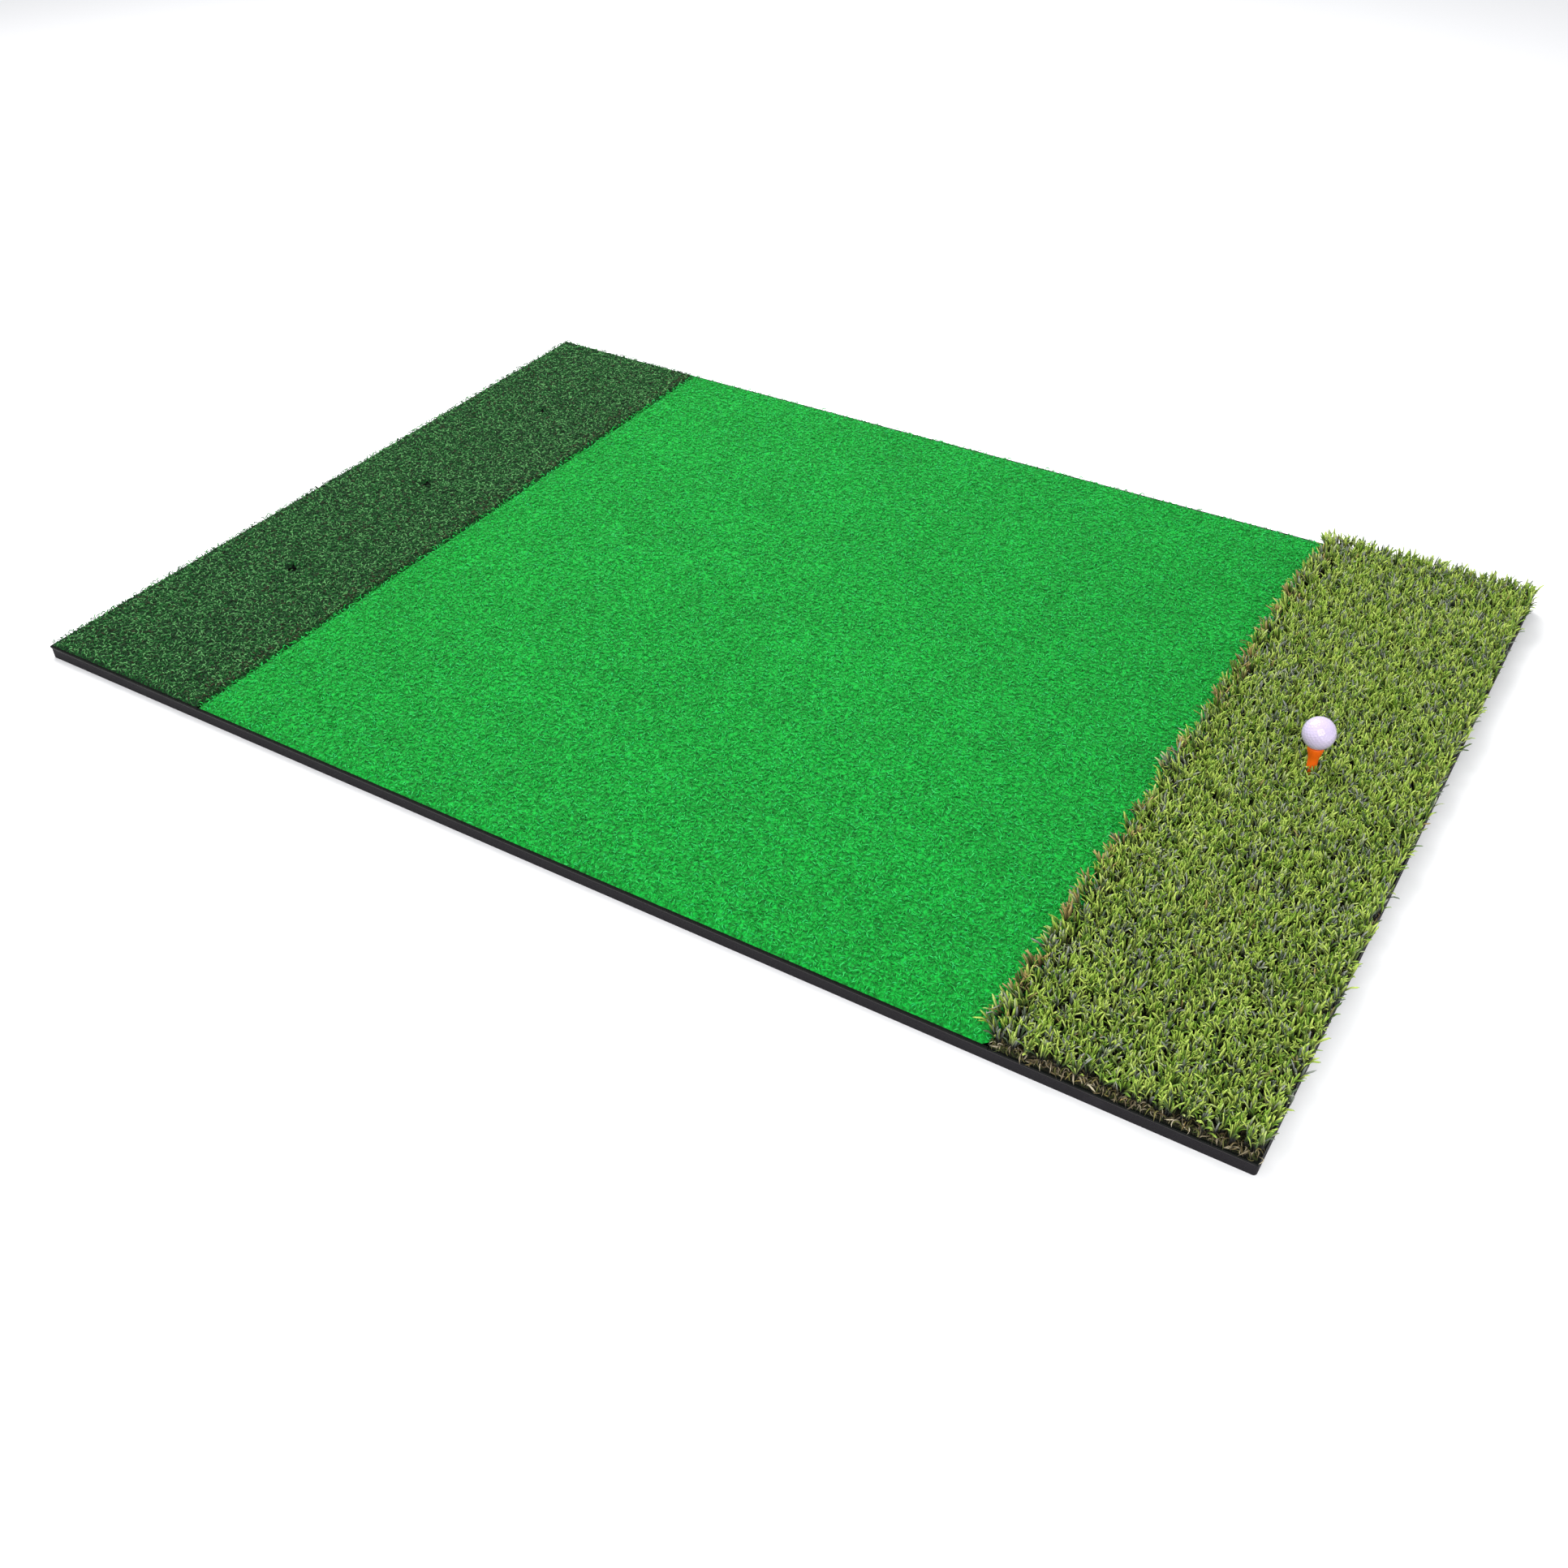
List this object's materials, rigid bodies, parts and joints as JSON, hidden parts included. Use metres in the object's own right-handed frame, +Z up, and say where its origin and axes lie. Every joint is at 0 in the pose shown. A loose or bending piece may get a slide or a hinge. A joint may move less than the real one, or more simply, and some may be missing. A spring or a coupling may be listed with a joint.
{
  "type": "golf hitting mat",
  "caption": "Flat practice mat: dark fairway strip with tee holes, wide stance strip and long rough strip on a foam base, with a rubber tee and ball.",
  "frame": {"origin": "middle of the underside of the foam base", "axes": "+X along the length, from the fairway strip to the rough strip; +Y across the width; +Z up"},
  "size_m": [1.8, 1.2, 0.1172],
  "materials": {
    "foam": "matte",
    "glue": "matte",
    "latex": "matte",
    "backing_cloth": "matte",
    "fairway_yarn": "matte",
    "stance_yarn": "matte",
    "thatch_yarn": "matte",
    "blade_yarn": "matte",
    "tee_rubber": "satin",
    "ball_cover": "gloss"
  },
  "bodies": {
    "mat": {"foam_base": "foam", "glue_film": "glue", "fairway_latex": "latex", "fairway_cloth": "backing_cloth", "fairway_pile": "fairway_yarn", "stance_latex": "latex", "stance_cloth": "backing_cloth", "stance_pile": "stance_yarn", "rough_latex": "latex", "rough_cloth": "backing_cloth", "rough_thatch": "thatch_yarn", "rough_blades": "blade_yarn", "tee_foot": "tee_rubber"},
    "tee_top": {"tee_cup": "tee_rubber"},
    "ball": {"golf_ball": "ball_cover"}
  },
  "joints": [
    {"name": "tee_flex", "type": "hinge", "parent": "mat", "child": "tee_top", "pos_m": [0.75, 0.015, 0.0485], "axis": [1, 0, 0], "range_deg": [-50, 50], "stiffness_Nm_per_rad": 0.3},
    {"name": "ball_lift", "type": "slide", "parent": "tee_top", "child": "ball", "axis": [0, 0, 1], "range_m": [0, 0.12]}
  ]
}
